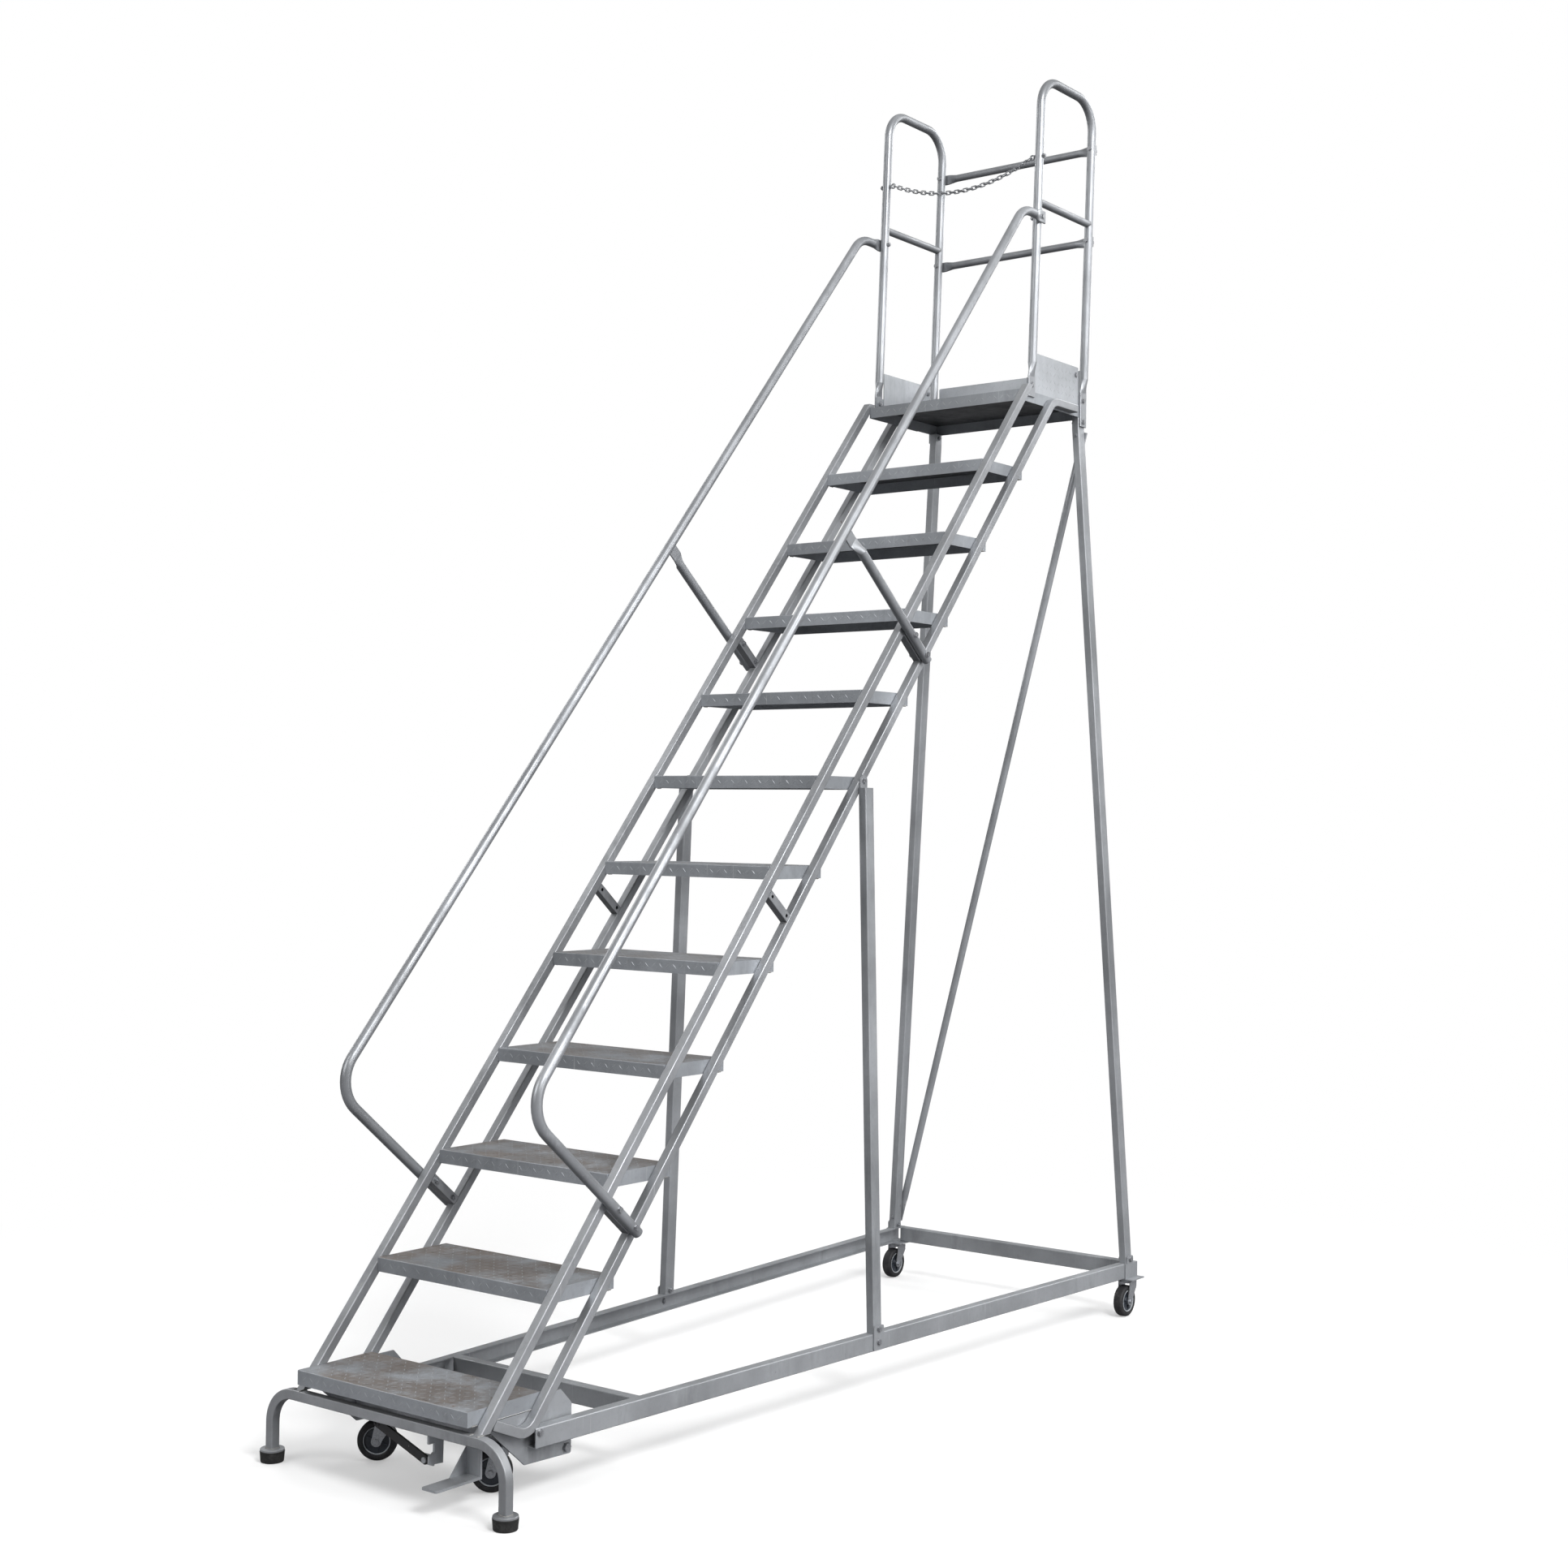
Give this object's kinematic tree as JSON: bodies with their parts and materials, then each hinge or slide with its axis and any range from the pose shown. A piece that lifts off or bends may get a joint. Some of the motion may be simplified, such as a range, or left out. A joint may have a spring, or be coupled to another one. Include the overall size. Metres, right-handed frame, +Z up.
{
  "type": "rolling warehouse ladder",
  "caption": "Rolling platform ladder: sloped steps between square tube stringers, round tube handrails and guards, splayed strutted base, swivel casters and a pedal latch.",
  "frame": {"origin": "middle of the footprint box, on the floor", "axes": "+X to the climber's right, +Y in the direction of climb, +Z up"},
  "size_m": [0.996, 2.914, 4.026],
  "materials": {
    "tread_steel": "silver grey coated sheet, scuffed, brownish wear on the lower steps",
    "deck_steel": "silver grey coated sheet, scuffed",
    "plate_steel": "silver grey embossed sheet",
    "rail_tube": "silver grey coated round tube, handling scratches",
    "stringer_tube": "silver grey coated square tube, scratches and rust spots",
    "base_steel": "silver grey coated steel, scratches and rust spots",
    "caster_steel": "zinc plated pressed steel",
    "zinc_hardware": "zinc plated",
    "wheel_tyre": "black rubber tyre on a dark hub",
    "foot_rubber": "black moulded rubber",
    "latch_black": "black painted flat bar"
  },
  "bodies": {
    "frame": {"base_front_rail": "base_steel", "base_rail_left": "base_steel", "base_rail_right": "base_steel", "base_rear_rail": "base_steel", "caster_corners": "base_steel", "chain_eyes": "zinc_hardware", "foot_bar": "stringer_tube", "foot_plates": "stringer_tube", "frame_bolts": "zinc_hardware", "front_stringer_left": "stringer_tube", "front_stringer_right": "stringer_tube", "guard_loop_left": "rail_tube", "guard_loop_right": "rail_tube", "guard_mid_rails": "rail_tube", "handrail_left": "rail_tube", "handrail_right": "rail_tube", "handrail_stays": "rail_tube", "hook_plate": "base_steel", "kick_plate_left": "plate_steel", "kick_plate_right": "plate_steel", "mid_strut_left": "base_steel", "mid_strut_right": "base_steel", "pivot_bolts": "zinc_hardware", "platform_deck": "deck_steel", "rear_bars": "rail_tube", "rear_brace": "base_steel", "rear_stringer_left": "stringer_tube", "rear_stringer_right": "stringer_tube", "rear_strut_left": "base_steel", "rear_strut_right": "base_steel", "rubber_foot_left": "foot_rubber", "rubber_foot_right": "foot_rubber", "safety_chain": "zinc_hardware", "side_plate_left": "base_steel", "side_plate_right": "base_steel", "step_1": "tread_steel", "step_10": "tread_steel", "step_11": "tread_steel", "step_2": "tread_steel", "step_3": "tread_steel", "step_4": "tread_steel", "step_5": "tread_steel", "step_6": "tread_steel", "step_7": "tread_steel", "step_8": "tread_steel", "step_9": "tread_steel", "stringer_brackets": "stringer_tube", "strut_clips": "base_steel", "toe_board": "plate_steel"},
    "carriage": {"caster_carriage": "base_steel", "pedal": "base_steel"},
    "latch": {"latch_lever": "latch_black"},
    "fork_front_left": {"caster_fork_front_left": "caster_steel"},
    "wheel_front_left": {"caster_wheel_front_left": "wheel_tyre"},
    "fork_front_right": {"caster_fork_front_right": "caster_steel"},
    "wheel_front_right": {"caster_wheel_front_right": "wheel_tyre"},
    "fork_rear_left": {"caster_fork_rear_left": "caster_steel"},
    "wheel_rear_left": {"caster_wheel_rear_left": "wheel_tyre"},
    "fork_rear_right": {"caster_fork_rear_right": "caster_steel"},
    "wheel_rear_right": {"caster_wheel_rear_right": "wheel_tyre"}
  },
  "joints": [
    {"name": "carriage_tilt", "type": "hinge", "parent": "frame", "child": "carriage", "pos_m": [0, -1.089, 0.096], "axis": [1, 0, 0], "range_deg": [0, 8]},
    {"name": "latch_swing", "type": "hinge", "parent": "frame", "child": "latch", "pos_m": [0.124, -1.3855, 0.1], "axis": [0, 1, 0], "range_deg": [-25, 5]},
    {"name": "swivel_front_left", "type": "hinge", "parent": "carriage", "child": "fork_front_left", "pos_m": [-0.2, -1.215, 0.109], "axis": [0, 0, 1], "continuous": true},
    {"name": "roll_front_left", "type": "hinge", "parent": "fork_front_left", "child": "wheel_front_left", "pos_m": [-0.21589, -1.22715, 0.05], "axis": [0.6074, -0.7944, 0], "continuous": true},
    {"name": "swivel_front_right", "type": "hinge", "parent": "carriage", "child": "fork_front_right", "pos_m": [0.2, -1.215, 0.109], "axis": [0, 0, 1], "continuous": true},
    {"name": "roll_front_right", "type": "hinge", "parent": "fork_front_right", "child": "wheel_front_right", "pos_m": [0.18411, -1.22715, 0.05], "axis": [0.6074, -0.7944, 0], "continuous": true},
    {"name": "swivel_rear_left", "type": "hinge", "parent": "frame", "child": "fork_rear_left", "pos_m": [-0.458, 1.417, 0.109], "axis": [0, 0, 1], "continuous": true},
    {"name": "roll_rear_left", "type": "hinge", "parent": "fork_rear_left", "child": "wheel_rear_left", "pos_m": [-0.458, 1.397, 0.05], "axis": [1, 0, 0], "continuous": true},
    {"name": "swivel_rear_right", "type": "hinge", "parent": "frame", "child": "fork_rear_right", "pos_m": [0.458, 1.417, 0.109], "axis": [0, 0, 1], "continuous": true},
    {"name": "roll_rear_right", "type": "hinge", "parent": "fork_rear_right", "child": "wheel_rear_right", "pos_m": [0.458, 1.397, 0.05], "axis": [1, 0, 0], "continuous": true}
  ]
}
